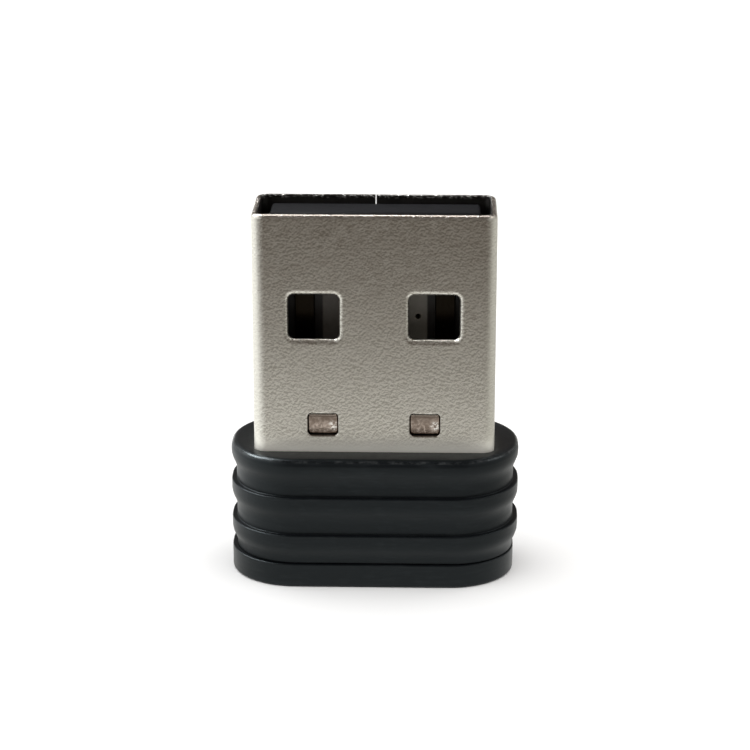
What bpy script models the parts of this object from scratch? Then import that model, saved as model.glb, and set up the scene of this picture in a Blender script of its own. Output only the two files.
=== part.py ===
"""Nano wireless adapter with a fixed type-A plug.

+Z runs out of the plug's mouth and +X runs across the plug's wide faces. -Y is the wide face that has the
two small lances, and +Y is the one with the seam. The origin is the centre of the bounding box's bottom.
"""

import math

import bmesh
import bpy
from mathutils import Matrix, Vector

MM = 0.001

# Clearance between pieces that rest on or fit in each other.
FIT = 0.03 * MM
# How far a cutter runs past the surface that it opens.
PAST = 0.5 * MM

# Ribbed cap: three ribs on the housing and one on the end cover.
CAP_WIDTH = 14.5 * MM
CAP_DEPTH = 7.4 * MM
CAP_CORNER = 3.4 * MM
CAP_TOP = 6.76 * MM
CAP_TOP_ROUND = 0.33 * MM
RIB_TOPS = (CAP_TOP, 4.76 * MM, 2.77 * MM)
RIB_HEIGHT = 0.95 * MM
RIB_PROJECTION = 0.25 * MM
RIB_LEDGE_ROUND = 0.04 * MM
RIB_FOOT_ROUND = 0.14 * MM
CAP_WALL = 0.70 * MM
CAP_ROOF = 1.00 * MM

# End cover: the fourth rib, a skirt that plugs into the housing and two snap ridges on it.
COVER_TOP = 1.21 * MM
PARTING_GAP = 0.03 * MM
COVER_WIDTH = 14.3 * MM
COVER_SHIFT = -0.10 * MM
COVER_TRIM = 0.05 * MM
COVER_FLOOR = 0.60 * MM
SKIRT_TOP = 2.28 * MM
SKIRT_WALL = 0.60 * MM
SNAP_LENGTH = 3.0 * MM
SNAP_HEIGHT = 0.40 * MM
SNAP_DEPTH = 0.16 * MM
SNAP_LEVEL = 1.80 * MM
SNAP_PLAY = 0.09 * MM

# Plug shell: one folded sheet.
PLUG_WIDTH = 12.0 * MM
PLUG_DEPTH = 4.5 * MM
PLUG_CORNER = 0.64 * MM
PLUG_TOP = 18.86 * MM
SHELL_FOOT = 4.3 * MM
SHEET = 0.30 * MM
LEG_FOOT = 3.1 * MM
LEG_HALF_WIDTH = 0.8 * MM
WINDOW_WIDTH = 2.5 * MM
WINDOW_HEIGHT = 2.28 * MM
WINDOW_CORNER = 0.30 * MM
WINDOW_OFFSET = 2.96 * MM
WINDOW_LEVEL = 13.70 * MM
LANCE_WIDTH = 1.52 * MM
LANCE_HEIGHT = 1.20 * MM
LANCE_OFFSET = 2.53 * MM
LANCE_LEVEL = 8.17 * MM
LANCE_CORNER = 0.15 * MM
LANCE_SIDE_GAP = 0.10 * MM
LANCE_REACH = 0.42 * MM
SEAM_WIDTH = 0.04 * MM
SEAM_KEY_LEVELS = (8.3 * MM, 15.6 * MM)
SEAM_KEY_HEIGHT = 1.5 * MM
SEAM_KEY_DEPTH = 1.0 * MM
SEAM_KEY_FLARE = 0.25 * MM
LANCE_INSET = 0.01 * MM
LANCE_ROOT = 0.25 * MM
LANCE_TIP_GAP = 0.12 * MM
LANCE_TIP_SLANT = 0.06 * MM
LANCE_BEND_OUTSIDE = 0.05 * MM
LANCE_BEND_INSIDE = 0.02 * MM

# Circuit board: a tongue in the plug and a wider foot in the cap.
BOARD_FRONT = 0.05 * MM
BOARD_THICKNESS = 0.80 * MM
BOARD_BACK = BOARD_FRONT + BOARD_THICKNESS
TONGUE_WIDTH = 9.4 * MM
TONGUE_TOP = 17.60 * MM
FOOT_TOP = 4.1 * MM
FOOT_WIDTH = 11.2 * MM
SHOULDER_TOP = 3.0 * MM
SHOULDER_WIDTH = 12.2 * MM
BOARD_FOOT = 1.40 * MM
VIA_RADIUS = 0.15 * MM
VIAS = (
    (2.15 * MM, 13.11 * MM),
    (2.15 * MM, 11.40 * MM),
    (-2.25 * MM, 11.30 * MM),
    (-2.25 * MM, 15.75 * MM),
    (0.0, 10.75 * MM),
    (0.0, 11.60 * MM),
    (0.0, 12.40 * MM),
    (0.0, 15.40 * MM),
    (4.30 * MM, 10.15 * MM),
    (-4.30 * MM, 10.15 * MM),
    (-4.6 * MM, 3.50 * MM),
    (4.6 * MM, 3.50 * MM),
    (0.4 * MM, 2.30 * MM),
)

# Contact carrier: a tray behind the board whose end wall is the tip of the tongue.
CARRIER_FRONT = 0.02 * MM
CARRIER_BACK = 1.91 * MM
CARRIER_TIP = 18.44 * MM
CARRIER_WIDTH = 10.4 * MM
CARRIER_FOOT = 4.8 * MM
CARRIER_BASE_WIDTH = 11.3 * MM
CARRIER_BASE_TOP = 9.1 * MM
CARRIER_BASE_CORNER = 0.35 * MM
CARRIER_TIP_ROUND = 0.15 * MM
CARRIER_STEP = 0.02 * MM
POCKET_WIDTH = 8.9 * MM
POCKET_BACK = 1.70 * MM
POCKET_TOP = 17.2 * MM
POCKET_FOOT = 5.4 * MM

# Front block: fills the plug below the reach of the socket, with a pocket behind each lance.
INSERT_FRONT = -1.91 * MM
INSERT_BACK = -0.16 * MM
INSERT_WIDTH = 11.3 * MM
INSERT_CORNER = 0.35 * MM
INSERT_FOOT = 4.6 * MM
INSERT_TOP = 9.2 * MM
INSERT_POCKET_BACK = -1.25 * MM

# Contacts: two power strips and two shorter data strips on the board's front face.
CONTACT_WIDTH = 1.0 * MM
CONTACT_THICKNESS = 0.15 * MM
CONTACT_ROOT = 7.85 * MM
POWER_TIP = 17.2 * MM
DATA_TIP = 16.2 * MM
CONTACT_ROUND = 0.05 * MM
CONTACT_LIFT = 0.02 * MM
CONTACTS = {
    "contact_vbus": (-3.5 * MM, POWER_TIP),
    "contact_d_minus": (-1.0 * MM, DATA_TIP),
    "contact_d_plus": (1.0 * MM, DATA_TIP),
    "contact_ground": (3.5 * MM, POWER_TIP),
}

# Devices on the board's back face: width (X), height (Z), thickness (Y), centre X and centre Z.
DEVICES = {
    "wifi_chip": (5.0, 5.0, 0.75, -0.9, 11.6, "epoxy"),
    "crystal": (3.2, 2.5, 0.70, -2.4, 15.75, "lid_metal"),
    "voltage_regulator": (2.0, 2.0, 0.60, 0.9, 15.75, "epoxy"),
    "power_inductor": (2.0, 1.6, 0.80, -3.0, 6.95, "ferrite"),
    "ferrite_bead": (1.6, 0.8, 0.75, 3.1, 6.25, "ferrite"),
    "chip_antenna": (3.2, 1.6, 1.00, -2.9, 3.2, "ceramic_white"),
}
DEVICE_EDGE = 0.03
DEVICE_LIFT = 0.02 * MM
SMALL_WIDTH = 1.0
SMALL_HEIGHT = 0.5
CAPACITOR_THICKNESS = 0.50
RESISTOR_THICKNESS = 0.35
CAPACITOR_PLACES = (
    (2.5, 13.75),
    (2.5, 12.30),
    (2.5, 10.35),
    (2.5, 9.55),
    (-0.9, 7.90),
    (0.5, 7.90),
    (3.1, 16.45),
    (1.2, 3.50),
)
RESISTOR_PLACES = (
    (3.1, 15.00),
    (3.8, 11.60),
    (-0.9, 6.85),
    (2.8, 3.50),
)

# Solder fillets between the shell's legs and the board.
SOLDER_SIZE = (0.40 * MM, 0.36 * MM, 0.70 * MM)
SOLDER_LEVEL = 3.60 * MM
SOLDER_ROUND = 0.10 * MM

FINE_STEPS = 10
CORNER_STEPS = 5

# Base colour, roughness and metallic value of each finish.
FINISHES = {
    "nickel": ((0.58, 0.56, 0.51), 0.40, 1.0),
    "black_plastic": ((0.022, 0.023, 0.025), 0.48, 0.0),
    "black_liquid_crystal_polymer": ((0.012, 0.012, 0.013), 0.55, 0.0),
    "black_solder_mask": ((0.030, 0.026, 0.022), 0.40, 0.0),
    "gold": ((0.86, 0.64, 0.30), 0.28, 1.0),
    "epoxy": ((0.035, 0.035, 0.037), 0.60, 0.0),
    "lid_metal": ((0.62, 0.61, 0.58), 0.30, 1.0),
    "ferrite": ((0.10, 0.10, 0.11), 0.65, 0.0),
    "ceramic_white": ((0.80, 0.79, 0.75), 0.50, 0.0),
    "ceramic_tan": ((0.55, 0.40, 0.26), 0.50, 0.0),
    "tin": ((0.70, 0.70, 0.68), 0.32, 1.0),
}


def clear_scene():
    for obj in list(bpy.data.objects):
        bpy.data.objects.remove(obj, do_unlink=True)


def new_collection(name):
    collection = bpy.data.collections.new(name)
    bpy.context.scene.collection.children.link(collection)
    return collection


clear_scene()
PARTS = new_collection("usb_wifi_adapter")
CUTTERS = new_collection("cutters")


def finish_material(name, finish):
    colour, roughness, metallic = FINISHES[finish]
    material = bpy.data.materials.new(name)
    material.use_nodes = True
    shader = material.node_tree.nodes["Principled BSDF"]
    shader.inputs["Base Color"].default_value = (*colour, 1.0)
    shader.inputs["Roughness"].default_value = roughness
    shader.inputs["Metallic"].default_value = metallic
    return material


def add_part(name, mesh, location, finish):
    part = bpy.data.objects.new(name, mesh)
    part.location = location
    mesh.shade_smooth()
    mesh.set_sharp_from_angle(angle=math.radians(30))
    mesh.materials.append(finish_material(name, finish))
    PARTS.objects.link(part)
    return part


def add_cutter(name, mesh, location=(0.0, 0.0, 0.0)):
    cutter = bpy.data.objects.new(name, mesh)
    cutter.location = location
    cutter.hide_render = True
    cutter.display_type = "WIRE"
    CUTTERS.objects.link(cutter)
    return cutter


def boolean(part, tool, operation):
    modifier = part.modifiers.new(tool.name, "BOOLEAN")
    modifier.operation = operation
    modifier.solver = "EXACT"
    modifier.object = tool


def cut(part, tool):
    boolean(part, tool, "DIFFERENCE")


def join(part, tool):
    boolean(part, tool, "UNION")


def bevel_level(bm, level, radius, steps):
    """Rounds the edges that lie at one height of a box."""
    tolerance = 1e-7
    edges = [e for e in bm.edges if all(abs(v.co.z - level) < tolerance for v in e.verts)]
    bmesh.ops.bevel(bm, geom=edges, offset=radius, segments=steps, profile=0.5, affect="EDGES")


def box_mesh(name, size, corner=0.0, top=0.0, bottom=0.0, corner_steps=CORNER_STEPS, rim_steps=2):
    """Box about its own centre, with rounded upright edges and rounded top and bottom rims."""
    bm = bmesh.new()
    bmesh.ops.create_cube(bm, size=1.0)
    bmesh.ops.scale(bm, vec=size, verts=bm.verts)
    half_height = size[2] / 2
    if corner:
        upright = [e for e in bm.edges if e.verts[0].co.z * e.verts[1].co.z < 0]
        bmesh.ops.bevel(bm, geom=upright, offset=corner, segments=corner_steps, profile=0.5, affect="EDGES")
    if top:
        bevel_level(bm, half_height, top, rim_steps)
    if bottom:
        bevel_level(bm, -half_height, bottom, 2)
    mesh = bpy.data.meshes.new(name)
    bm.to_mesh(mesh)
    bm.free()
    return mesh


def span(low, high):
    """Size and centre of the box between two corners."""
    size = tuple(b - a for a, b in zip(low, high))
    centre = tuple((a + b) / 2 for a, b in zip(low, high))
    return size, centre


def box_cutter(name, low, high, corner=0.0, corner_steps=CORNER_STEPS):
    size, centre = span(low, high)
    return add_cutter(name, box_mesh(name, size, corner, corner_steps=corner_steps), centre)


def across_depth(origin=(0.0, 0.0, 0.0)):
    """Turns a flat outline so that it lies in the XZ plane with its thickness along Y."""
    return Matrix.Translation(origin) @ Matrix.Rotation(math.pi / 2, 4, "X")


def across_width(origin=(0.0, 0.0, 0.0)):
    """Turns a flat outline so that it lies in the YZ plane with its thickness along X."""
    turn = Matrix(((0, 0, 1, 0), (1, 0, 0, 0), (0, 1, 0, 0), (0, 0, 0, 1)))
    return Matrix.Translation(origin) @ turn


def plate_mesh(name, outlines, thickness, placement):
    """Plate cut from closed outlines; the second and later ones are holes in the first."""
    curve = bpy.data.curves.new(name, "CURVE")
    curve.dimensions = "2D"
    curve.fill_mode = "BOTH"
    curve.extrude = thickness / 2
    for points in outlines:
        spline = curve.splines.new("POLY")
        spline.points.add(len(points) - 1)
        for point, (across, up) in zip(spline.points, points):
            point.co = (across, up, 0.0, 1.0)
        spline.use_cyclic_u = True
    outline = bpy.data.objects.new(name + "_outline", curve)
    outline.matrix_world = placement
    bpy.context.scene.collection.objects.link(outline)
    depsgraph = bpy.context.evaluated_depsgraph_get()
    mesh = bpy.data.meshes.new_from_object(outline.evaluated_get(depsgraph))
    bm = bmesh.new()
    bm.from_mesh(mesh)
    bmesh.ops.remove_doubles(bm, verts=bm.verts, dist=1e-7)
    bmesh.ops.recalc_face_normals(bm, faces=bm.faces)
    bm.transform(outline.matrix_world)
    bm.to_mesh(mesh)
    bm.free()
    bpy.data.objects.remove(outline, do_unlink=True)
    return mesh


def circle(centre, radius, steps):
    """Points of a round hole in a plate's outline."""
    turns = [2 * math.pi * step / steps for step in range(steps)]
    return [(centre[0] + radius * math.cos(t), centre[1] + radius * math.sin(t)) for t in turns]


def mirrored(right_side):
    """Closed outline from its right half, listed from bottom to top."""
    return list(right_side) + [(-across, up) for across, up in reversed(right_side)]


def ribbon(path, width):
    """Closed outline of a constant-width ribbon along an open path, with mitred corners."""
    left = []
    right = []
    for index, point in enumerate(path):
        before = path[max(index - 1, 0)]
        after = path[min(index + 1, len(path) - 1)]
        arriving = (point - before).normalized() if index else (after - point).normalized()
        leaving = (after - point).normalized() if after != point else arriving
        along = (arriving + leaving).normalized()
        normal = Vector((-along.y, along.x))
        reach = width / 2 / max(normal.dot(Vector((-arriving.y, arriving.x))), 0.2)
        left.append(tuple(point + normal * reach))
        right.append(tuple(point - normal * reach))
    return left + right[::-1]


def seam_path():
    """Seam up the back of the shell, with a dovetail key at each key level."""
    path = [Vector((0.0, SHELL_FOOT - PAST))]
    for level in SEAM_KEY_LEVELS:
        low = level - SEAM_KEY_HEIGHT / 2
        high = level + SEAM_KEY_HEIGHT / 2
        path.append(Vector((0.0, low)))
        path.append(Vector((SEAM_KEY_DEPTH, low - SEAM_KEY_FLARE)))
        path.append(Vector((SEAM_KEY_DEPTH, high + SEAM_KEY_FLARE)))
        path.append(Vector((0.0, high)))
    path.append(Vector((0.0, PLUG_TOP + PAST)))
    return path


def lance_profile():
    """Side view of a lance: hinged at the top of its hole and bent into the plug towards its tip."""
    outer = -PLUG_DEPTH / 2
    inner = outer + SHEET
    hinge = LANCE_LEVEL + LANCE_HEIGHT / 2
    tip = LANCE_LEVEL - LANCE_HEIGHT / 2 + LANCE_TIP_GAP
    root = hinge + LANCE_ROOT
    return [
        (outer + LANCE_INSET, root),
        (outer + LANCE_INSET, hinge - LANCE_BEND_OUTSIDE),
        (outer + LANCE_REACH, tip),
        (inner + LANCE_REACH, tip + LANCE_TIP_SLANT),
        (inner - LANCE_INSET, hinge - LANCE_BEND_INSIDE),
        (inner - LANCE_INSET, root),
    ]


def build_shell():
    size, centre = span(
        (-PLUG_WIDTH / 2, -PLUG_DEPTH / 2, LEG_FOOT), (PLUG_WIDTH / 2, PLUG_DEPTH / 2, PLUG_TOP)
    )
    mesh = box_mesh("plug_shell", size, PLUG_CORNER)
    bm = bmesh.new()
    bm.from_mesh(mesh)
    ends = [face for face in bm.faces if abs(face.normal.z) > 0.9]
    bmesh.ops.delete(bm, geom=ends, context="FACES_ONLY")
    bm.to_mesh(mesh)
    bm.free()
    shell = add_part("plug_shell", mesh, centre, "nickel")
    wall = shell.modifiers.new("sheet", "SOLIDIFY")
    wall.thickness = SHEET
    wall.offset = -1.0
    wall.use_even_offset = True
    reach_x = PLUG_WIDTH / 2 + PAST
    reach_y = PLUG_DEPTH / 2 + PAST
    trims = {"front": (-reach_y, -LEG_HALF_WIDTH), "back": (LEG_HALF_WIDTH, reach_y)}
    for side, (low, high) in trims.items():
        lower_corner = (-reach_x, low, LEG_FOOT - PAST)
        cut(shell, box_cutter(f"leg_trim_{side}", lower_corner, (reach_x, high, SHELL_FOOT)))
    for side, sign in (("left", -1), ("right", 1)):
        add_shell_openings(shell, side, sign)
    back_wall = across_depth((0, PLUG_DEPTH / 2 - SHEET / 2, 0))
    seam = plate_mesh("seam", [ribbon(seam_path(), SEAM_WIDTH)], SHEET + PAST, back_wall)
    cut(shell, add_cutter("seam", seam))


def add_shell_openings(shell, side, sign):
    """One column of the shell: a window through both wide faces, and a lance in the front one."""
    reach_y = PLUG_DEPTH / 2 + PAST
    window_size = (WINDOW_WIDTH, WINDOW_HEIGHT, 2 * reach_y)
    window = box_mesh(f"window_{side}", window_size, WINDOW_CORNER, corner_steps=4)
    window.transform(Matrix.Rotation(math.pi / 2, 4, "X"))
    cut(shell, add_cutter(f"window_{side}", window, (sign * WINDOW_OFFSET, 0, WINDOW_LEVEL)))
    lance_x = sign * LANCE_OFFSET
    hole_size = (LANCE_WIDTH, LANCE_HEIGHT, 3 * SHEET)
    hole = box_mesh(f"lance_hole_{side}", hole_size, LANCE_CORNER, corner_steps=3)
    hole.transform(Matrix.Rotation(math.pi / 2, 4, "X"))
    front = -PLUG_DEPTH / 2 + SHEET / 2
    cut(shell, add_cutter(f"lance_hole_{side}", hole, (lance_x, front, LANCE_LEVEL)))
    lance_width = LANCE_WIDTH - 2 * LANCE_SIDE_GAP
    lance = plate_mesh(f"lance_{side}", [lance_profile()], lance_width, across_width((lance_x, 0, 0)))
    join(shell, add_cutter(f"lance_{side}", lance))


def core_size(inset):
    """Plan width, depth and corner radius of the cap at a distance inside its ribs' outline."""
    return CAP_WIDTH - 2 * inset, CAP_DEPTH - 2 * inset, CAP_CORNER - inset


def build_housing():
    width, depth, corner = core_size(RIB_PROJECTION)
    foot = COVER_TOP + PARTING_GAP
    core_top = CAP_TOP - RIB_HEIGHT / 2
    core = box_mesh("ribbed_housing", (width, depth, core_top - foot), corner, corner_steps=FINE_STEPS)
    housing = add_part("ribbed_housing", core, (0, 0, (core_top + foot) / 2), "black_plastic")
    for number, rib_top in enumerate(RIB_TOPS, start=1):
        top_round = CAP_TOP_ROUND if number == 1 else RIB_LEDGE_ROUND
        rib = box_mesh(
            f"rib_{number}",
            (CAP_WIDTH, CAP_DEPTH, RIB_HEIGHT),
            CAP_CORNER,
            top=top_round,
            bottom=RIB_FOOT_ROUND,
            corner_steps=FINE_STEPS,
            rim_steps=4 if number == 1 else 1,
        )
        join(housing, add_cutter(f"rib_{number}", rib, (0, 0, rib_top - RIB_HEIGHT / 2)))
    width, depth, corner = core_size(RIB_PROJECTION + CAP_WALL)
    cut(
        housing,
        box_cutter(
            "cap_cavity",
            (-width / 2, -depth / 2, foot - PAST),
            (width / 2, depth / 2, CAP_TOP - CAP_ROOF),
            corner,
            FINE_STEPS,
        ),
    )
    half_x = PLUG_WIDTH / 2 + FIT
    half_y = PLUG_DEPTH / 2 + FIT
    slot_low = (-half_x, -half_y, LEG_FOOT - FIT)
    slot_high = (half_x, half_y, CAP_TOP + PAST)
    cut(housing, box_cutter("plug_slot", slot_low, slot_high, PLUG_CORNER + FIT))
    for side, sign in (("front", -1), ("back", 1)):
        wall = sign * depth / 2
        low, high = sorted((wall - sign * PAST, wall + sign * SNAP_DEPTH))
        half_length = SNAP_LENGTH / 2 + SNAP_PLAY
        half_height = SNAP_HEIGHT / 2 + SNAP_PLAY
        cut(
            housing,
            box_cutter(
                f"snap_recess_{side}",
                (-half_length, low, SNAP_LEVEL - half_height),
                (half_length, high, SNAP_LEVEL + half_height),
            ),
        )


def build_cover():
    rib = box_mesh(
        "end_cover",
        (COVER_WIDTH, CAP_DEPTH - 2 * COVER_TRIM, COVER_TOP),
        CAP_CORNER - COVER_TRIM,
        top=RIB_LEDGE_ROUND,
        bottom=RIB_FOOT_ROUND,
        corner_steps=FINE_STEPS,
        rim_steps=1,
    )
    cover = add_part("end_cover", rib, (COVER_SHIFT, 0, COVER_TOP / 2), "black_plastic")
    outside = core_size(RIB_PROJECTION + CAP_WALL + FIT)
    inside = core_size(RIB_PROJECTION + CAP_WALL + FIT + SKIRT_WALL)
    middle = (COVER_FLOOR + SKIRT_TOP) / 2
    skirt = box_mesh("skirt", (*outside[:2], SKIRT_TOP - COVER_FLOOR), outside[2], corner_steps=FINE_STEPS)
    join(cover, add_cutter("skirt", skirt, (0, 0, middle)))
    cut(
        cover,
        box_cutter(
            "cover_pocket",
            (-inside[0] / 2, -inside[1] / 2, COVER_FLOOR),
            (inside[0] / 2, inside[1] / 2, SKIRT_TOP + PAST),
            inside[2],
            FINE_STEPS,
        ),
    )
    for side, sign in (("front", -1), ("back", 1)):
        wall = sign * outside[1] / 2
        low, high = sorted((wall - sign * SNAP_DEPTH, wall + sign * (SNAP_DEPTH - 2 * FIT)))
        size, centre = span(
            (-SNAP_LENGTH / 2, low, SNAP_LEVEL - SNAP_HEIGHT / 2),
            (SNAP_LENGTH / 2, high, SNAP_LEVEL + SNAP_HEIGHT / 2),
        )
        join(cover, add_cutter(f"snap_{side}", box_mesh(f"snap_{side}", size), centre))
    cut(
        cover,
        box_cutter(
            "board_slot",
            (-outside[0], BOARD_FRONT - FIT, BOARD_FOOT - FIT),
            (outside[0], BOARD_BACK + FIT, SKIRT_TOP + PAST),
        ),
    )


def build_board():
    side = [
        (SHOULDER_WIDTH / 2, BOARD_FOOT),
        (SHOULDER_WIDTH / 2, SHOULDER_TOP),
        (FOOT_WIDTH / 2, SHOULDER_TOP),
        (FOOT_WIDTH / 2, FOOT_TOP),
        (TONGUE_WIDTH / 2, FOOT_TOP),
        (TONGUE_WIDTH / 2, TONGUE_TOP),
    ]
    holes = [circle(place, VIA_RADIUS, 10) for place in VIAS]
    middle = (BOARD_FRONT + BOARD_BACK) / 2
    placement = across_depth((0, middle, 0))
    mesh = plate_mesh("circuit_board", [mirrored(side), *holes], BOARD_THICKNESS, placement)
    add_part("circuit_board", mesh, (0, 0, 0), "black_solder_mask")


def build_carrier():
    size, centre = span(
        (-CARRIER_WIDTH / 2, CARRIER_FRONT, CARRIER_FOOT), (CARRIER_WIDTH / 2, CARRIER_BACK, CARRIER_TIP)
    )
    tray = box_mesh("contact_carrier", size, top=CARRIER_TIP_ROUND)
    carrier = add_part("contact_carrier", tray, centre, "black_liquid_crystal_polymer")
    base_size, base_centre = span(
        (-CARRIER_BASE_WIDTH / 2, CARRIER_FRONT + CARRIER_STEP, CARRIER_FOOT - CARRIER_STEP),
        (CARRIER_BASE_WIDTH / 2, CARRIER_BACK - CARRIER_STEP, CARRIER_BASE_TOP),
    )
    base = box_mesh("carrier_base", base_size, CARRIER_BASE_CORNER, corner_steps=3)
    join(carrier, add_cutter("carrier_base", base, base_centre))
    board_half = TONGUE_WIDTH / 2 + FIT
    cut(
        carrier,
        box_cutter(
            "board_seat",
            (-board_half, CARRIER_FRONT - PAST, CARRIER_FOOT - PAST),
            (board_half, BOARD_BACK + FIT, TONGUE_TOP + FIT),
        ),
    )
    cut(
        carrier,
        box_cutter(
            "device_pocket",
            (-POCKET_WIDTH / 2, BOARD_FRONT, POCKET_FOOT),
            (POCKET_WIDTH / 2, POCKET_BACK, POCKET_TOP),
        ),
    )


def build_insert():
    size, centre = span(
        (-INSERT_WIDTH / 2, INSERT_FRONT, INSERT_FOOT), (INSERT_WIDTH / 2, INSERT_BACK, INSERT_TOP)
    )
    block = box_mesh("plug_insert", size, INSERT_CORNER, corner_steps=3)
    insert = add_part("plug_insert", block, centre, "black_liquid_crystal_polymer")
    for side, sign in (("left", -1), ("right", 1)):
        half = LANCE_WIDTH / 2
        cut(
            insert,
            box_cutter(
                f"lance_pocket_{side}",
                (sign * LANCE_OFFSET - half, INSERT_FRONT - PAST, LANCE_LEVEL - LANCE_HEIGHT / 2),
                (sign * LANCE_OFFSET + half, INSERT_POCKET_BACK, LANCE_LEVEL + LANCE_HEIGHT / 2),
            ),
        )


def build_contacts():
    middle = BOARD_FRONT - CONTACT_LIFT - CONTACT_THICKNESS / 2
    for name, (across, tip) in CONTACTS.items():
        size = (CONTACT_WIDTH, CONTACT_THICKNESS, tip - CONTACT_ROOT)
        strip = box_mesh(name, size, CONTACT_ROUND, top=CONTACT_ROUND, corner_steps=2)
        add_part(name, strip, (across, middle, (tip + CONTACT_ROOT) / 2), "gold")


def add_device(name, width, height, thickness, across, up, finish):
    """Device soldered to the board's back face, sized and placed in millimetres."""
    size = (width * MM, thickness * MM, height * MM)
    edge = DEVICE_EDGE * MM
    mesh = box_mesh(name, size, edge, top=edge, bottom=edge, corner_steps=1, rim_steps=1)
    middle = BOARD_BACK + DEVICE_LIFT + thickness * MM / 2
    add_part(name, mesh, (across * MM, middle, up * MM), finish)


def build_devices():
    for name, device in DEVICES.items():
        add_device(name, *device)
    capacitor_size = (SMALL_WIDTH, SMALL_HEIGHT, CAPACITOR_THICKNESS)
    for number, place in enumerate(CAPACITOR_PLACES, start=1):
        add_device(f"capacitor_{number}", *capacitor_size, *place, "ceramic_tan")
    resistor_size = (SMALL_WIDTH, SMALL_HEIGHT, RESISTOR_THICKNESS)
    for number, place in enumerate(RESISTOR_PLACES, start=1):
        add_device(f"resistor_{number}", *resistor_size, *place, "epoxy")


def build_solder():
    inner = PLUG_WIDTH / 2 - SHEET
    for side, sign in (("left", -1), ("right", 1)):
        name = f"shell_solder_{side}"
        round_rims = {"top": SOLDER_ROUND, "bottom": SOLDER_ROUND}
        mesh = box_mesh(name, SOLDER_SIZE, SOLDER_ROUND, corner_steps=2, **round_rims)
        across = sign * (inner - FIT - SOLDER_SIZE[0] / 2)
        add_part(name, mesh, (across, BOARD_FRONT - FIT - SOLDER_SIZE[1] / 2, SOLDER_LEVEL), "tin")


build_shell()
build_housing()
build_cover()
build_board()
build_carrier()
build_insert()
build_contacts()
build_devices()
build_solder()
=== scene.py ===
"""Looks of the nano wireless adapter: a nickel plug shell folded from a flat sheet, on a black ribbed cap.

The plug points up (+Z), and the photograph's side faces -Y. Lengths are in millimetres until a mesh is made, apart
from the studio's, which are in metres. Colours are linear, and noise scales are per millimetre.
"""

import math

import bmesh
import bpy
from mathutils import Matrix, Vector
from mathutils.geometry import delaunay_2d_cdt


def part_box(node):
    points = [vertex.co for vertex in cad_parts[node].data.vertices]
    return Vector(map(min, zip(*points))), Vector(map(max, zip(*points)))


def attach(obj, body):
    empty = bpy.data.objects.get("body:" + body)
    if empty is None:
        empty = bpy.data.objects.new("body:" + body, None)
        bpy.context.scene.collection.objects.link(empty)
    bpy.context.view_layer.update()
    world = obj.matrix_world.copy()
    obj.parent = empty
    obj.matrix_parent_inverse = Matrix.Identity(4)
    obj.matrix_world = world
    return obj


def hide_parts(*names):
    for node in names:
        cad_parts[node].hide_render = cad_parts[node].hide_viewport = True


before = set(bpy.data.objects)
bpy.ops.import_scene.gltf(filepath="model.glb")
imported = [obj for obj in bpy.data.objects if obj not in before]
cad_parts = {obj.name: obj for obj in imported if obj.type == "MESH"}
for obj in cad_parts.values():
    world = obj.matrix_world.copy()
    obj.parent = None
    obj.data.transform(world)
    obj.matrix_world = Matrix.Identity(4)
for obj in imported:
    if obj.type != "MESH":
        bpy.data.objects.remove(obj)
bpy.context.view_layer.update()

MM = 0.001
MICROMETRE = 1e-6
BODY = "root"


def node_box(node):
    """Lowest and highest corner of a CAD node, in millimetres."""
    low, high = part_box(node)
    return low / MM, high / MM


# ---------------------------------------------------------------------------------------------------------
# Sizes read from the frame, and the details that the frame has no name for
# ---------------------------------------------------------------------------------------------------------

SHELL_LOW, SHELL_HIGH = node_box("plug_shell")
HOUSING_LOW, HOUSING_HIGH = node_box("ribbed_housing")
COVER_LOW, COVER_HIGH = node_box("end_cover")

PLUG_WIDTH = SHELL_HIGH.x - SHELL_LOW.x
PLUG_DEPTH = SHELL_HIGH.y - SHELL_LOW.y
PLUG_TOP = SHELL_HIGH.z
PLUG_CORNER = 0.64
PLUG_FRONT = -PLUG_DEPTH / 2
LEG_FOOT = SHELL_LOW.z
LEG_HALF_WIDTH = 0.8
SHELL_FOOT = LEG_FOOT + 1.2
SHEET = 0.30

WINDOW_SIZE = (2.50, 2.28)
WINDOW_CORNER = 0.30
WINDOW_OFFSET = 2.96
WINDOW_LEVEL = PLUG_TOP - 5.16

LANCE_SIZE = (1.52, 1.20)
LANCE_CORNER = 0.24
LANCE_OFFSET = 2.53
LANCE_LEVEL = 8.17
LANCE_SLIT = 0.03
LANCE_DROP = 0.27
LANCE_STEP = 0.14
LANCE_SHELF = 0.13
LANCE_BEND = 0.24
LANCE_ROWS = 10
LANCE_CORNER_STEPS = 6

SEAM_GAP = 0.035
SEAM_KEY_LEVELS = (8.3, 15.6)
SEAM_KEY_HEIGHT = 1.5
SEAM_KEY_DEPTH = 1.0
SEAM_KEY_FLARE = 0.25

# Rolled edges of the stamped sheet, as (width across the face, depth into the sheet), and the burrs inside
EDGE_ROLL, EDGE_BURR = (0.05, 0.05), 0.04
RIM_ROLL = (0.24, 0.19)
WINDOW_ROLL = (0.24, 0.20)
SLIT_ROLL = (0.05, 0.06)
HOLE_BURR = 0.02

CAP_WIDTH = HOUSING_HIGH.x - HOUSING_LOW.x
CAP_DEPTH = HOUSING_HIGH.y - HOUSING_LOW.y
CAP_TOP = HOUSING_HIGH.z
CAP_CORNER = 3.4
CAP_WALL = 0.70
CAP_ROOF = 1.0
CAP_TOP_EDGE = 0.33
CAP_TOP_FLAT_INSET = 0.42
RIB_TOPS = (CAP_TOP, 4.76, 2.77)
RIB_HEIGHT = 0.95
RIB_PROJECTION = 0.25
RIB_SLOPE = 0.28
RIB_SWEEP = 1.0
RIB_EDGE = 0.05
CREASE = 0.03
ROOF_FILLET = 0.10
HOUSING_FOOT = HOUSING_LOW.z
SLOT_CLEARANCE = 0.03
SLOT_CHAMFER = 0.04

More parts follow.
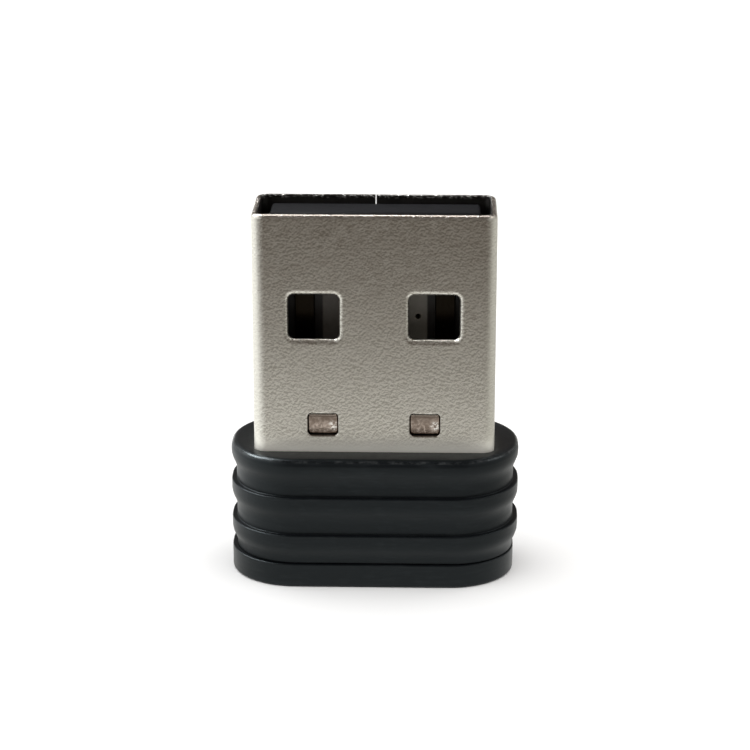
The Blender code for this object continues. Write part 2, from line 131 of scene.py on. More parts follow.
COVER_TOP = HOUSING_FOOT - 0.03
COVER_SKIRT_GAP = 0.03
COVER_SKIRT_WALL = 0.6
COVER_FLOOR = 0.6
COVER_FOOT_EDGE = 0.13
COVER_HOLLOW_FILLET = 0.08

VIA_PLACES = (
    (2.15, 13.11),
    (2.15, 11.40),
    (-2.25, 11.30),
    (-2.25, 15.75),
    (0.0, 10.75),
    (0.0, 11.60),
    (0.0, 12.40),
    (0.0, 15.40),
    (4.30, 10.15),
    (-4.30, 10.15),
    (-4.6, 3.50),
    (4.6, 3.50),
    (0.4, 2.30),
)
WEAVE_FREQUENCY = 24.0
LAND_PITCH = 0.5

SUPPORT = 0.02  # from a rounding to the point beside it, which keeps the shading of the flat side flat
STRAIGHT = 0.02  # a corner that turns by less than twice this many radians isn't rounded
TOLERANCE = 1e-4
BEND_STEPS = 10
CAP_STEPS = 14


# ---------------------------------------------------------------------------------------------------------
# Camera
# ---------------------------------------------------------------------------------------------------------

CAMERA_PITCH = 18.05
CAMERA_YAW = 1.48
CAMERA_PLACE = (3.10, -120.0, 49.16)
FOCAL_PIXELS = 2513.9
IMAGE_SIDE = 750
SENSOR = 36.0
CLIP_START, CLIP_END = 0.005, 20.0


def make_camera():
    """The photograph's camera, fitted to its matching points."""
    data = bpy.data.cameras.new("camera")
    data.sensor_width = SENSOR
    data.lens = SENSOR * FOCAL_PIXELS / IMAGE_SIDE
    data.clip_start = CLIP_START
    data.clip_end = CLIP_END
    camera = bpy.data.objects.new("camera", data)
    camera.location = Vector(CAMERA_PLACE) * MM
    camera.rotation_euler = (math.radians(90.0 - CAMERA_PITCH), 0.0, math.radians(CAMERA_YAW))
    bpy.context.scene.collection.objects.link(camera)
    bpy.context.scene.camera = camera


# ---------------------------------------------------------------------------------------------------------
# Material helpers
# ---------------------------------------------------------------------------------------------------------


def put(tree, value, socket):
    """Links another socket's value to a socket, or sets it to a number or a colour."""
    if isinstance(value, bpy.types.NodeSocket):
        tree.links.new(value, socket)
    else:
        socket.default_value = (*value, 1.0) if isinstance(value, tuple) else value


class Nodes:
    """Short calls for building a material's node tree. Its place is in millimetres."""

    def __init__(self, name):
        self.material = bpy.data.materials.new(name)
        self.material.use_nodes = True
        self.tree = self.material.node_tree
        self.shader = self.tree.nodes["Principled BSDF"]
        coordinates = self.tree.nodes.new("ShaderNodeTexCoord")
        self.place = self.mapping(coordinates.outputs["Object"], (1 / MM, 1 / MM, 1 / MM))

    def mapping(self, source, scale=(1.0, 1.0, 1.0), offset=(0.0, 0.0, 0.0)):
        node = self.tree.nodes.new("ShaderNodeMapping")
        node.inputs["Scale"].default_value = scale
        node.inputs["Location"].default_value = offset
        self.tree.links.new(source, node.inputs["Vector"])
        return node.outputs["Vector"]

    def stretched(self, scale):
        return self.mapping(self.place, scale)

    def noise(self, scale, detail=3.0, roughness=0.5, distortion=0.0, vector=None):
        node = self.tree.nodes.new("ShaderNodeTexNoise")
        node.inputs["Scale"].default_value = scale
        node.inputs["Detail"].default_value = detail
        node.inputs["Roughness"].default_value = roughness
        node.inputs["Distortion"].default_value = distortion
        self.tree.links.new(vector or self.place, node.inputs["Vector"])
        return node.outputs["Fac"]

    def cells(self, scale):
        node = self.tree.nodes.new("ShaderNodeTexVoronoi")
        node.inputs["Scale"].default_value = scale
        self.tree.links.new(self.place, node.inputs["Vector"])
        return node.outputs["Distance"]

    def remap(self, value, low, high, to_low=0.0, to_high=1.0, smooth=False):
        node = self.tree.nodes.new("ShaderNodeMapRange")
        node.interpolation_type = "SMOOTHSTEP" if smooth else "LINEAR"
        put(self.tree, value, node.inputs["Value"])
        node.inputs["From Min"].default_value = low
        node.inputs["From Max"].default_value = high
        node.inputs["To Min"].default_value = to_low
        node.inputs["To Max"].default_value = to_high
        return node.outputs["Result"]

    def math(self, operation, a, b=0.0):
        node = self.tree.nodes.new("ShaderNodeMath")
        node.operation = operation
        put(self.tree, a, node.inputs[0])
        put(self.tree, b, node.inputs[1])
        return node.outputs["Value"]

    def times(self, product, *factors):
        for factor in factors:
            product = self.math("MULTIPLY", product, factor)
        return product

    def mix(self, factor, a, b):
        node = self.tree.nodes.new("ShaderNodeMix")
        node.data_type = "RGBA"
        put(self.tree, factor, node.inputs["Factor"])
        put(self.tree, a, node.inputs["A"])
        put(self.tree, b, node.inputs["B"])
        return node.outputs["Result"]

    def axis(self, name):
        node = self.tree.nodes.new("ShaderNodeSeparateXYZ")
        self.tree.links.new(self.place, node.inputs["Vector"])
        return node.outputs[name]

    def away(self, name, centre):
        """Distance from a place on an axis."""
        return self.math("ABSOLUTE", self.math("SUBTRACT", self.axis(name), centre))

    def from_middle(self, name):
        """Distance from the middle plane of an axis."""
        return self.math("ABSOLUTE", self.axis(name))

    def within(self, name, half, soft=0.02):
        """One where the distance from the middle plane of an axis is below half, nought beyond."""
        return self.remap(self.from_middle(name), half + soft, half - soft)

    def distance_in_front(self, centre):
        """Distance from a point (across, level), seen along the depth."""
        across = self.math("SUBTRACT", self.axis("X"), centre[0])
        up = self.math("SUBTRACT", self.axis("Z"), centre[1])
        squared = self.math("ADD", self.times(across, across), self.times(up, up))
        return self.math("SQRT", squared)

    def bump(self, height, distance_um, strength=1.0, normal=None):
        node = self.tree.nodes.new("ShaderNodeBump")
        node.inputs["Strength"].default_value = strength
        node.inputs["Distance"].default_value = distance_um * MICROMETRE
        put(self.tree, height, node.inputs["Height"])
        if normal is not None:
            self.tree.links.new(normal, node.inputs["Normal"])
        return node.outputs["Normal"]

    def set(self, **values):
        """Puts values on the shader's sockets, and returns the finished material."""
        for name, value in values.items():
            put(self.tree, value, self.shader.inputs[name.replace("_", " ")])
        return self.material


# ---------------------------------------------------------------------------------------------------------
# Materials
# ---------------------------------------------------------------------------------------------------------

NICKEL_TINTS = (0.63, 0.605, 0.54), (0.70, 0.68, 0.61)
# Painted light: the lowest millimetre of the shell, above the cap, is painted paler
NICKEL_FOOT_PAINTED_LIGHT = (0.84, 0.82, 0.745)
# Painted shade: a darker band along the rolled rim
NICKEL_RIM_SHADE = (0.40, 0.36, 0.32)
# Nicks along the rim, painted with bright glints, more towards the back
NICKEL_WORN_GLINT = (0.90, 0.89, 0.87)
# Painted shade inside the plug
NICKEL_INSIDE_SHADE = (0.10, 0.095, 0.09)
INSIDE_FROM = 0.24  # depth under the shell's outer face
# Painted shade and painted light on the grain's sides, as if lit from above
GRAIN_PAINTED_SHADE, GRAIN_PAINTED_LIGHT = (0.42, 0.395, 0.345), (0.88, 0.86, 0.80)
GRAIN_LIT_OVER = (-0.01, 0.0, 0.065)  # from a place on the grain to the one that is compared with it
GRAIN_RELIEF = (-0.078, 0.062)  # relief that is painted fully dark, and fully light
RIM_BAND = (PLUG_TOP - 0.24, PLUG_TOP - 0.03)

# Painted reflection, painted shade, painted highlight and painted glints on the lances
LANCE_REFLECTION_TINTS = (0.22, 0.17, 0.138), (0.56, 0.47, 0.41)
LANCE_SHADE = (0.13, 0.10, 0.08)
LANCE_SHADE_LEVELS = (LANCE_LEVEL - 0.1, LANCE_LEVEL + 0.38)
LANCE_SHELF_HIGHLIGHT = (0.52, 0.44, 0.38)
LANCE_SHELF_LEVELS = (LANCE_LEVEL + 0.42, LANCE_LEVEL + 0.47)
GLINT_PLACES = ((-2.02, 8.05), (3.04, 8.05))
GLINT_TINT = (0.92, 0.88, 0.83)

CAP_TINTS = (0.0042, 0.0052, 0.0062), (0.0085, 0.0100, 0.0112)
# Painted highlight: light dots along the top edge, which is also rubbed smoother
CAP_EDGE_HIGHLIGHT = (0.038, 0.040, 0.041)
CAP_RUBBED_HIGHLIGHT_LEVEL = CAP_TOP - 0.10
CAP_SHEEN = (0.86, 0.97, 1.0)

BOARD_TINTS = (0.072, 0.063, 0.053), (0.122, 0.110, 0.094)
# Painted light: the board is painted paler towards the right
BOARD_LIT_TINTS = (0.115, 0.105, 0.088), (0.195, 0.180, 0.150)
BOARD_LIT_FROM, BOARD_LIT_TO = -1.0, 1.6
# Painted shade on the board's sides
BOARD_SIDE_SHADE = (0.012, 0.011, 0.010)
BOARD_SIDE_SHADE_STARTS = (2.56, 2.64)
VIA_RING = (0.17, 0.155, 0.125)
VIA_RING_INSIDE = (0.12, 0.14)
VIA_RING_OUTSIDE = (0.24, 0.22)

# Gold contacts, and the painted shade that covers them below the tip
CONTACT_GOLD_TINTS = (0.83, 0.60, 0.28), (0.68, 0.49, 0.23)
CONTACT_SHADE = (0.036, 0.031, 0.023), (0.028, 0.024, 0.019)
CONTACT_SHADE_LEVELS = (14.9, 15.3)

COMPOUND = (0.022, 0.022, 0.024)
LAND_TINTS = (0.55, 0.55, 0.53), (0.74, 0.74, 0.72)


def shell_crinkle(n, vector):
    """Height of the shell's grain at a place that may be moved."""
    return n.noise(6.6, 4.0, 0.66, 0.5, vector)


def painted_relief(n, squashed, crinkle):
    """How light the grain is painted: as if lit from above, weaker on the bends and in quiet patches."""
    lit_over = n.mapping(squashed, offset=GRAIN_LIT_OVER)
    slope = n.math("SUBTRACT", crinkle, shell_crinkle(n, lit_over))
    pits = n.times(n.math("SUBTRACT", n.noise(9.5, 3.0, 0.6), 0.5), 0.34)
    half_width = PLUG_WIDTH / 2
    flat = n.remap(n.from_middle("X"), half_width - 0.25, half_width - 0.75, 0.25, 1.0, smooth=True)
    patches = n.remap(n.noise(0.8, 2.0, 0.5), 0.35, 0.65, 0.65, 1.0)
    return n.remap(n.times(n.math("ADD", slope, pits), flat, patches), *GRAIN_RELIEF)


def lance_mask(n):
    """One on the pushed-in tabs of the two lances, where a dim brown reflection is painted."""
    half_width, half_height = LANCE_SIZE[0] / 2, LANCE_SIZE[1] / 2
    from_centre = n.math("ABSOLUTE", n.math("SUBTRACT", n.from_middle("X"), LANCE_OFFSET))
    along = n.remap(from_centre, half_width + 0.01, half_width - 0.02)
    up = n.remap(n.away("Z", LANCE_LEVEL), half_height + 0.01, half_height - 0.02)
    sunk = n.remap(n.axis("Y"), PLUG_FRONT + 0.03, PLUG_FRONT + 0.12)
    in_front = n.remap(n.axis("Y"), PLUG_FRONT + 1.0, PLUG_FRONT + 0.9)
    return n.times(along, up, n.times(sunk, in_front))


def lance_colour(n, level):
    """Lances' painted dim reflection: painted shade at the top, a painted highlight on the shelf, painted glints.
    """
    # drawn holds the lances' painted dim brown reflection, then their painted shade and painted highlight
    drawn = n.mix(n.remap(n.noise(4.2, 3.0, 0.6, 0.8), 0.42, 0.68), *LANCE_REFLECTION_TINTS)
    drawn = n.mix(n.remap(level, *LANCE_SHADE_LEVELS, 0.0, 0.8), drawn, LANCE_SHADE)
    drawn = n.mix(n.remap(level, *LANCE_SHELF_LEVELS), drawn, LANCE_SHELF_HIGHLIGHT)
    from_glint = n.math("MINIMUM", *[n.distance_in_front(place) for place in GLINT_PLACES])
    specks = n.remap(n.noise(7.5, 3.0, 0.6), 0.46, 0.56)
    return n.mix(n.times(specks, n.remap(from_glint, 0.30, 0.12)), drawn, GLINT_TINT)


def nickel_material():
    """Satin nickel plate with a fine crinkled grain and nicks along the rim, with painted shade, light and glints.
    """
    n = Nodes("satin_nickel")
    level = n.axis("Z")
    squashed = n.stretched((1.0, 1.0, 1.1))
    crinkle = shell_crinkle(n, squashed)
    fine = n.noise(18.0, 2.0, 0.5, 0.4, squashed)
    grain = n.bump(n.math("ADD", crinkle, n.times(fine, 0.25)), 11.0, 0.8)
    rim = n.remap(level, *RIM_BAND, smooth=True)
    # Nicks along the rim, bumped, and painted bright as glints
    nicks_and_glints = n.remap(n.noise(6.5, 4.0, 0.7, 0.6), 0.54, 0.62)
    towards_back = n.remap(n.axis("Y"), PLUG_FRONT, -PLUG_FRONT, 0.25, 1.0)
    worn_and_glints = n.times(rim, nicks_and_glints, towards_back)
    # Inside the plug, where painted shade goes
    inside = n.times(n.within("X", PLUG_WIDTH / 2 - INSIDE_FROM), n.within("Y", PLUG_DEPTH / 2 - INSIDE_FROM))
    lance = lance_mask(n)

    colour = n.mix(n.noise(0.55, 3.0, 0.6), *NICKEL_TINTS)
    # Painted light and painted shade on the grain's sides
    lit = n.mix(0.5, colour, GRAIN_PAINTED_LIGHT)
    colour = n.mix(painted_relief(n, squashed, crinkle), GRAIN_PAINTED_SHADE, lit)
    # Painted light: paler towards the cap
    colour = n.mix(n.remap(level, CAP_TOP + 1.1, CAP_TOP, smooth=True), colour, NICKEL_FOOT_PAINTED_LIGHT)
    # Painted shade on the rim band
    colour = n.mix(rim, colour, NICKEL_RIM_SHADE)
    # Painted shade inside the plug
    colour = n.mix(inside, colour, NICKEL_INSIDE_SHADE)
    # Painted reflection, shade, highlight and glints on the lances
    colour = n.mix(lance, colour, lance_colour(n, level))
    # Painted glints on the rim's nicks
    colour = n.mix(worn_and_glints, colour, NICKEL_WORN_GLINT)

    rough = n.remap(n.noise(2.2, 3.0, 0.6), 0.3, 0.7, 0.31, 0.38)
    for smoother in (rim, lance):
        rough = n.math("SUBTRACT", rough, n.times(smoother, 0.12))
    # The foot is less metallic, because it would otherwise mirror the black cap as a dark band
    metallic = n.remap(level, CAP_TOP + 0.10, CAP_TOP + 0.80, 0.25, 1.0, smooth=True)
    return n.set(Base_Color=colour, Metallic=metallic, Roughness=rough, Normal=n.bump(worn_and_glints, 20.0, 0.8, grain))


def cap_material():
    """Black moulded plastic with a spark-eroded satin texture, handling marks, and a smoother top edge with
    painted highlight dots.
    """
    n = Nodes("black_cap_plastic")
    stipple = n.noise(11.0, 3.0, 0.6)
    grain = n.bump(n.math("ADD", stipple, n.times(n.cells(9.0), 0.5)), 5.0, 0.6)
    smears = n.noise(0.7, 4.0, 0.6, 0.8)
    streaks = n.noise(2.4, 3.0, 0.55, 0.3, n.stretched((0.35, 0.35, 3.0)))
    scuffs = n.remap(n.times(smears, streaks), 0.24, 0.42)
    # Painted highlight dots along the rubbed top edge
    edge = n.remap(n.away("Z", CAP_RUBBED_HIGHLIGHT_LEVEL), 0.07, 0.02)
    highlight_dots = n.remap(n.noise(4.0, 3.0, 0.65, 0.0, n.stretched((0.6, 0.6, 1.0))), 0.46, 0.68)
    rough = n.remap(smears, 0.3, 0.7, 0.32, 0.42)
    return n.set(
        Base_Color=n.mix(n.times(edge, highlight_dots), n.mix(scuffs, *CAP_TINTS), CAP_EDGE_HIGHLIGHT),
        Roughness=n.math("SUBTRACT", rough, n.times(edge, 0.12)),
        Normal=grain,
        Specular_IOR_Level=0.20,
        Specular_Tint=CAP_SHEEN,
    )


def plain_plastic(name, colour, roughness, gloss=0.25):
    """Matt moulded plastic with a fine stipple and a slight unevenness of tone."""
    n = Nodes(name)
    grain = n.bump(n.noise(9.0, 3.0, 0.6), 3.0, 0.5)
    tone = n.noise(1.1, 3.0, 0.55)
    lighter = tuple(channel * 1.5 + 0.002 for channel in colour)
    rough = n.remap(tone, 0.3, 0.7, roughness - 0.05, roughness + 0.05)
    return n.set(
        Base_Color=n.mix(tone, colour, lighter), Roughness=rough, Normal=grain, Specular_IOR_Level=gloss
    )


def board_material():
    """Black solder mask over a faint weave: painted light towards the right, painted shade at the sides, a ring
    round each via.
    """
    n = Nodes("black_solder_mask")
    threads = [n.math("SINE", n.times(n.axis(axis), WEAVE_FREQUENCY)) for axis in ("X", "Z")]
    ripple = n.bump(n.math("ADD", n.times(*threads), n.noise(3.0, 2.0)), 1.5, 0.5)
    tone = n.noise(1.6, 4.0, 0.6)
    # Painted light towards the right
    pale = n.remap(n.axis("X"), BOARD_LIT_FROM, BOARD_LIT_TO, smooth=True)
    colour = n.mix(pale, n.mix(tone, *BOARD_TINTS), n.mix(tone, *BOARD_LIT_TINTS))
    # Painted shade at the sides
    colour = n.mix(n.remap(n.from_middle("X"), *BOARD_SIDE_SHADE_STARTS), colour, BOARD_SIDE_SHADE)
    from_via = 1.0
    for place in VIA_PLACES:
        from_via = n.math("MINIMUM", from_via, n.distance_in_front(place))
    ring = n.times(n.remap(from_via, *VIA_RING_INSIDE), n.remap(from_via, *VIA_RING_OUTSIDE))
    return n.set(
        Base_Color=n.mix(ring, colour, VIA_RING),
        Roughness=n.remap(tone, 0.3, 0.7, 0.34, 0.46),
        Normal=ripple,
    )


def tarnish(n):
    """One in the patches where plated metal has dulled."""
    return n.remap(n.noise(1.4, 4.0, 0.6, 0.4), 0.45, 0.75)


def plated(n, colour, roughness, brushed):
    """Finishes a plated metal with fine draw lines."""
    lines = n.noise(9.0, 3.0, 0.6, 0.0, n.stretched(brushed))
    return n.set(
        Base_Color=colour,
        Metallic=1.0,
        Roughness=n.remap(lines, 0.3, 0.7, *roughness),
        Normal=n.bump(lines, 1.5, 0.5),
    )


def metal_material(name, colour, roughness, brushed=(1.0, 1.0, 1.0)):
    """Plated metal that is a little darker where it is tarnished."""
    n = Nodes(name)
    darker = tuple(channel * 0.82 for channel in colour)
    tinted = n.mix(tarnish(n), colour, darker)
    return plated(n, tinted, (roughness - 0.06, roughness + 0.06), brushed)


def contact_material():
    """Contact strip: gold near its tip, painted shade in near-black further down."""
    n = Nodes("contact_gold")
    # Gold above these levels, painted shade below them
    unshaded = n.remap(n.axis("Z"), *CONTACT_SHADE_LEVELS, smooth=True)
    dulled = tarnish(n)
    colour = n.mix(unshaded, n.mix(dulled, *CONTACT_SHADE), n.mix(dulled, *CONTACT_GOLD_TINTS))
    return plated(n, colour, (0.18, 0.28), (3.0, 1.0, 0.25))


def ceramic_material(name, colour):
    """Fired ceramic: fine speckle, matt."""
    n = Nodes(name)
    speckle = n.noise(16.0, 3.0, 0.7)
    darker = tuple(channel * 0.75 for channel in colour)
    return n.set(
        Base_Color=n.mix(n.remap(speckle, 0.4, 0.65), darker, colour),
        Roughness=n.remap(speckle, 0.3, 0.7, 0.45, 0.6),
        Normal=n.bump(speckle, 2.0, 0.5),
    )


def lands_material():
    """Foot of a chip: tinned lands in a row along each side, with moulding compound between them."""
    n = Nodes("tinned_lands")
    rows = [n.math("SINE", n.times(n.axis(axis), math.tau / LAND_PITCH)) for axis in ("X", "Z")]
    land = n.remap(n.math("MAXIMUM", *rows), 0.25, 0.35)
    speckle = n.noise(12.0, 3.0, 0.6)
    return n.set(
        Base_Color=n.mix(land, COMPOUND, n.mix(speckle, *LAND_TINTS)),
        Metallic=land,
        Roughness=n.remap(speckle, 0.3, 0.7, 0.32, 0.48),
        Normal=n.bump(speckle, 1.5, 0.5),
    )


NICKEL = nickel_material()
CAP_PLASTIC = cap_material()
INSERT_PLASTIC = plain_plastic("black_insert_plastic", (0.004, 0.004, 0.005), 0.7, 0.08)
BOARD_MASK = board_material()
CONTACT_METAL = contact_material()
SOLDER = metal_material("tinned_metal", (0.68, 0.68, 0.66), 0.30)
LID_METAL = metal_material("crystal_lid", (0.62, 0.60, 0.56), 0.28, (0.4, 1.0, 3.0))
EPOXY = plain_plastic("moulding_compound", COMPOUND, 0.62)
FERRITE = plain_plastic("ferrite", (0.065, 0.065, 0.07), 0.6)
TAN_CERAMIC = ceramic_material("tan_ceramic", (0.50, 0.36, 0.23))
WHITE_CERAMIC = ceramic_material("white_ceramic", (0.80, 0.79, 0.75))
DARK_CERAMIC = ceramic_material("dark_ceramic", (0.085, 0.075, 0.07))
LANDS = lands_material()


# ---------------------------------------------------------------------------------------------------------
# Mesh helpers
# ---------------------------------------------------------------------------------------------------------


def add_piece(name, bm, materials, node):
    """Puts a closed bmesh, in millimetres, in the scene as the piece that stands for a CAD node."""
    bmesh.ops.recalc_face_normals(bm, faces=bm.faces)
    if bm.calc_volume(signed=True) < 0:
        bmesh.ops.reverse_faces(bm, faces=bm.faces)
    bmesh.ops.scale(bm, vec=(MM, MM, MM), verts=bm.verts)
    mesh = bpy.data.meshes.new(name)
    bm.to_mesh(mesh)
    bm.free()
    piece = bpy.data.objects.new(name, mesh)
    bpy.context.scene.collection.objects.link(piece)
    for material in materials:
        mesh.materials.append(material)
    mesh.shade_smooth()
    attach(piece, BODY)
    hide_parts(node)


def rounded_rectangle(half_width, half_height, radius, steps):
    """Points round a rectangle with rounded corners, counter-clockwise from the right side."""
    points = []
    for quarter in range(4):
        sign_x = 1 if quarter in (0, 3) else -1
        sign_y = 1 if quarter in (0, 1) else -1
        for step in range(steps + 1):
            turn = math.pi / 2 * (quarter + step / steps)
            across = sign_x * (half_width - radius) + radius * math.cos(turn)
            up = sign_y * (half_height - radius) + radius * math.sin(turn)
            points.append((across, up))
    return points


def offset_loop(points, distances):
    """Moves each point of a closed outline to its left by its own distance."""
    moved = []
    count = len(points)
    for index, (point, distance) in enumerate(zip(points, distances)):
        here = Vector(point)
        arriving = (here - Vector(points[index - 1])).normalized()
        leaving = (Vector(points[(index + 1) % count]) - here).normalized()
        normal_in = Vector((-arriving.y, arriving.x))
        normal_out = Vector((-leaving.y, leaving.x))
        normal = (normal_in + normal_out).normalized()
        moved.append(tuple(here + normal * (distance / max(normal.dot(normal_in), 0.3))))
    return moved


def fillet_path(corners, steps=4):
    """Rounds the corners (across, up, radius) of an open path, with a support point beside each rounding."""
    path = []
    for index, (across, up, radius) in enumerate(corners):
        here = Vector((across, up))
        if radius <= 0 or index in (0, len(corners) - 1):
            path.append(here)
            continue
        back = (Vector(corners[index - 1][:2]) - here).normalized()
        on = (Vector(corners[index + 1][:2]) - here).normalized()
        half = back.angle(on) / 2
        if half > math.pi / 2 - STRAIGHT:
            path.append(here)
            continue
        reach = radius / math.tan(half)
        start = here + back * reach
        end = here + on * reach
        path.append(start + back * min(SUPPORT, radius))
        centre = here + (back + on).normalized() * (radius / math.sin(half))
        first = start - centre
        sweep = first.angle_signed(end - centre)
        for step in range(steps + 1):
            path.append(centre + Matrix.Rotation(-sweep * step / steps, 2) @ first)
        path.append(end + on * min(SUPPORT, radius))
    return path


def join_loops(bm, loops, closed=False):
    """Quads between loops that have the same number of vertices."""
    faces = []
    pairs = list(zip(loops, loops[1:]))
    if closed:
        pairs.append((loops[-1], loops[0]))
    for lower, upper in pairs:
        count = len(lower)
        for index in range(count):
            following = (index + 1) % count
            faces.append(bm.faces.new((lower[index], lower[following], upper[following], upper[index])))
    return faces


# ---------------------------------------------------------------------------------------------------------
# Plug shell: a flat sheet with stamped edges, folded round the plug
# ---------------------------------------------------------------------------------------------------------

HALF_BACK = PLUG_WIDTH / 2 - PLUG_CORNER
SIDE_FLAT = PLUG_DEPTH - 2 * PLUG_CORNER
FRONT_FLAT = PLUG_WIDTH - 2 * PLUG_CORNER
BEND_LENGTH = PLUG_CORNER * math.pi / 2
BEND_STARTS = (
    HALF_BACK,
    HALF_BACK + BEND_LENGTH + SIDE_FLAT,
    HALF_BACK + 2 * BEND_LENGTH + SIDE_FLAT + FRONT_FLAT,
    HALF_BACK + 3 * BEND_LENGTH + 2 * SIDE_FLAT + FRONT_FLAT,
)
DEVELOPED = 2 * HALF_BACK + 4 * BEND_LENGTH + 2 * SIDE_FLAT + FRONT_FLAT
RIGHT_SIDE = HALF_BACK + BEND_LENGTH + SIDE_FLAT / 2
LANCE_CENTRES = (DEVELOPED / 2 - LANCE_OFFSET, DEVELOPED / 2 + LANCE_OFFSET)


def fold(along, depth):
    """Plan position of a point of the flat sheet: its distance from the seam, and its depth in the sheet."""
    corner_x = PLUG_WIDTH / 2 - PLUG_CORNER
    corner_y = PLUG_DEPTH / 2 - PLUG_CORNER
    corners = ((corner_x, corner_y), (corner_x, -corner_y), (-corner_x, -corner_y), (-corner_x, corner_y))
    heading = 0.0
    start = Vector((0.0, PLUG_DEPTH / 2))
    travelled = 0.0
    for bend, corner in zip(BEND_STARTS, corners):
        if along <= bend:
            break
        if along < bend + BEND_LENGTH:
            turned = heading - (along - bend) / PLUG_CORNER
            outward = Vector((-math.sin(turned), math.cos(turned)))
            return Vector(corner) + outward * (PLUG_CORNER - depth)
        heading -= math.pi / 2
        outward = Vector((-math.sin(heading), math.cos(heading)))
        start = Vector(corner) + outward * PLUG_CORNER
        travelled = bend + BEND_LENGTH
    forward = Vector((math.cos(heading), math.sin(heading)))
    outward = Vector((-math.sin(heading), math.cos(heading)))
    return start + forward * (along - travelled) - outward * depth


def seam_line():
    """Centre of the seam in the flat sheet, from the shell's foot to its rim."""
    path = [(0.0, SHELL_FOOT)]
    for level in SEAM_KEY_LEVELS:
        low = level - SEAM_KEY_HEIGHT / 2
        high = level + SEAM_KEY_HEIGHT / 2
        path.append((0.0, low))
        path.append((SEAM_KEY_DEPTH, low - SEAM_KEY_FLARE))
        path.append((SEAM_KEY_DEPTH, high + SEAM_KEY_FLARE))
        path.append((0.0, high))
    path.append((0.0, PLUG_TOP))
    return path


def shifted_line(path, distance):
    """A line moved to its left, with mitred corners and ends that stay at their own level."""
    extended = [(path[0][0], path[0][1] - 1.0)] + path + [(path[-1][0], path[-1][1] + 1.0)]
    moved = offset_loop(extended, [distance] * len(extended))[1:-1]
    moved[0] = (moved[0][0], path[0][1])
    moved[-1] = (moved[-1][0], path[-1][1])
    return moved


def sheet_outline():
    """Outline of the flat sheet, counter-clockwise: foot with its two legs, seam edge, rim, seam edge."""
    seam = seam_line()
    right_edge = [(x + DEVELOPED, z) for x, z in shifted_line(seam, SEAM_GAP / 2)]
    left_edge = shifted_line(seam, -SEAM_GAP / 2)
    foot = []
    for middle in (RIGHT_SIDE, DEVELOPED - RIGHT_SIDE):
        left, right = middle - LEG_HALF_WIDTH, middle + LEG_HALF_WIDTH
        foot += [(left, SHELL_FOOT), (left, LEG_FOOT), (right, LEG_FOOT), (right, SHELL_FOOT)]
    return foot + right_edge + left_edge[::-1]


def window_outlines():
    """Clockwise outlines of the four windows in the flat sheet."""
    middle = DEVELOPED / 2
    centres = (middle - WINDOW_OFFSET, middle + WINDOW_OFFSET, WINDOW_OFFSET, DEVELOPED - WINDOW_OFFSET)
    shape = rounded_rectangle(WINDOW_SIZE[0] / 2, WINDOW_SIZE[1] / 2, WINDOW_CORNER, 7)[::-1]
    return [[(x + centre, z + WINDOW_LEVEL) for x, z in shape] for centre in centres]


def lance_slits():
    """Clockwise outlines of the slits that free the two lances from the sheet on all sides but the top."""
    outline = []
    for inset, direction in ((0.0, 1), (LANCE_SLIT, -1)):
        side = rounded_rectangle(
            LANCE_SIZE[0] / 2 - inset, LANCE_SIZE[1] / 2 - inset, LANCE_CORNER - inset, LANCE_CORNER_STEPS
        )
        top_left = LANCE_CORNER_STEPS + 1
        outline += (side[top_left:] + side[:top_left])[::direction]
    return [[(x + centre, z + LANCE_LEVEL) for x, z in outline][::-1] for centre in LANCE_CENTRES]


def on_lance(along, level):
    """Whether a point of the flat sheet lies inside the middle line of a lance's slit."""
    half_width = LANCE_SIZE[0] / 2 - LANCE_SLIT / 2
    half_height = LANCE_SIZE[1] / 2 - LANCE_SLIT / 2
    corner = LANCE_CORNER - LANCE_SLIT / 2
    across = min(abs(along - centre) for centre in LANCE_CENTRES) - (half_width - corner)
    up = abs(level - LANCE_LEVEL) - (half_height - corner)
    return math.hypot(max(across, 0.0), max(up, 0.0)) < corner


def lance_depth(along, level):
    """How far a point of the sheet is pushed into the plug: a short step, a shelf, then a slope."""
    if not on_lance(along, level):
        return 0.0
    below = LANCE_LEVEL + LANCE_SIZE[1] / 2 - level
    step = min(max(below / LANCE_STEP, 0.0), 1.0)
    shelf = LANCE_SHELF * step * step * (3 - 2 * step)
    slope = (LANCE_DROP - LANCE_SHELF) / (LANCE_SIZE[1] - LANCE_BEND)
    return shelf + slope * max(below - LANCE_BEND, 0.0)


def edge_profile(roll, burr, roll_steps=5, burr_steps=2):
    """Section of a stamped edge as (distance from the edge, depth): rolled outside, nearly sharp inside."""
    across, into = roll
    section = [(across + SUPPORT, 0.0)]
    for step in range(roll_steps + 1):
        turn = math.pi / 2 * step / roll_steps
        section.append((across * (1 - math.sin(turn)), into * (1 - math.cos(turn))))
    for step in range(burr_steps + 1):
        turn = math.pi / 2 * step / burr_steps
        section.append((burr * (1 - math.cos(turn)), SHEET - burr * (1 - math.sin(turn))))
    section.append((burr + SUPPORT, SHEET))
    return section


def stamp_edge(bm, outline, rolls, burr):
    """Rings of vertices over a stamped edge, from the sheet's outer face to its inner face."""
    sections = [edge_profile(roll, burr) for roll in rolls]
    rings = []
    for level in range(len(sections[0])):
        places = offset_loop(outline, [section[level][0] for section in sections])
        ring = [bm.verts.new((x, z, -section[level][1])) for (x, z), section in zip(places, sections)]
        rings.append(ring)
    join_loops(bm, rings)
    return rings


